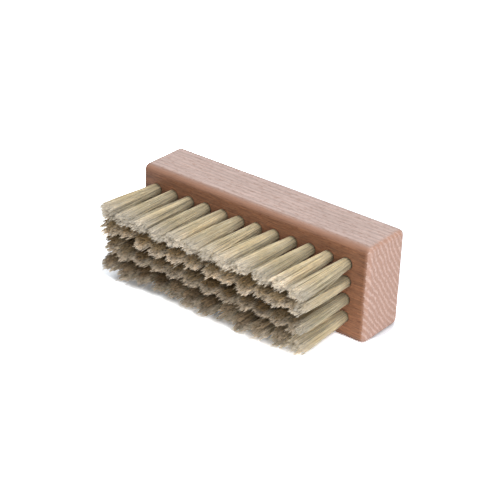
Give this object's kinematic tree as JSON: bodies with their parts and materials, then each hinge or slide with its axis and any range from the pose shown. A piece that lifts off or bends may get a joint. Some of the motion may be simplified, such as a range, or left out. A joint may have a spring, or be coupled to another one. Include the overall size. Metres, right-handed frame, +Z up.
{
  "type": "shoe brush",
  "caption": "Rectangular beech block shoe brush with a straight grid of stiff natural bristle tufts on one wide face, lying on its long side.",
  "frame": {"origin": "centre of the long narrow side of the block that the brush rests on", "axes": "+X along the block, to the right with the bristles facing the viewer; +Y from the bristle face to the back; +Z up, from the resting side to the opposite long side"},
  "size_m": [0.12, 0.062, 0.0445],
  "materials": {
    "beech": "fine sanded, bare, with short dark ray flecks",
    "bristle": "straw coloured natural bristle, paler and frayed at the tips"
  },
  "bodies": {
    "root": {"block": "beech", "tuft_r1_c01": "bristle", "tuft_r1_c02": "bristle", "tuft_r1_c03": "bristle", "tuft_r1_c04": "bristle", "tuft_r1_c05": "bristle", "tuft_r1_c06": "bristle", "tuft_r1_c07": "bristle", "tuft_r1_c08": "bristle", "tuft_r1_c09": "bristle", "tuft_r1_c10": "bristle", "tuft_r1_c11": "bristle", "tuft_r1_c12": "bristle", "tuft_r2_c01": "bristle", "tuft_r2_c02": "bristle", "tuft_r2_c03": "bristle", "tuft_r2_c04": "bristle", "tuft_r2_c05": "bristle", "tuft_r2_c06": "bristle", "tuft_r2_c07": "bristle", "tuft_r2_c08": "bristle", "tuft_r2_c09": "bristle", "tuft_r2_c10": "bristle", "tuft_r2_c11": "bristle", "tuft_r2_c12": "bristle", "tuft_r3_c01": "bristle", "tuft_r3_c02": "bristle", "tuft_r3_c03": "bristle", "tuft_r3_c04": "bristle", "tuft_r3_c05": "bristle", "tuft_r3_c06": "bristle", "tuft_r3_c07": "bristle", "tuft_r3_c08": "bristle", "tuft_r3_c09": "bristle", "tuft_r3_c10": "bristle", "tuft_r3_c11": "bristle", "tuft_r3_c12": "bristle", "tuft_r4_c01": "bristle", "tuft_r4_c02": "bristle", "tuft_r4_c03": "bristle", "tuft_r4_c04": "bristle", "tuft_r4_c05": "bristle", "tuft_r4_c06": "bristle", "tuft_r4_c07": "bristle", "tuft_r4_c08": "bristle", "tuft_r4_c09": "bristle", "tuft_r4_c10": "bristle", "tuft_r4_c11": "bristle", "tuft_r4_c12": "bristle"}
  },
  "joints": []
}
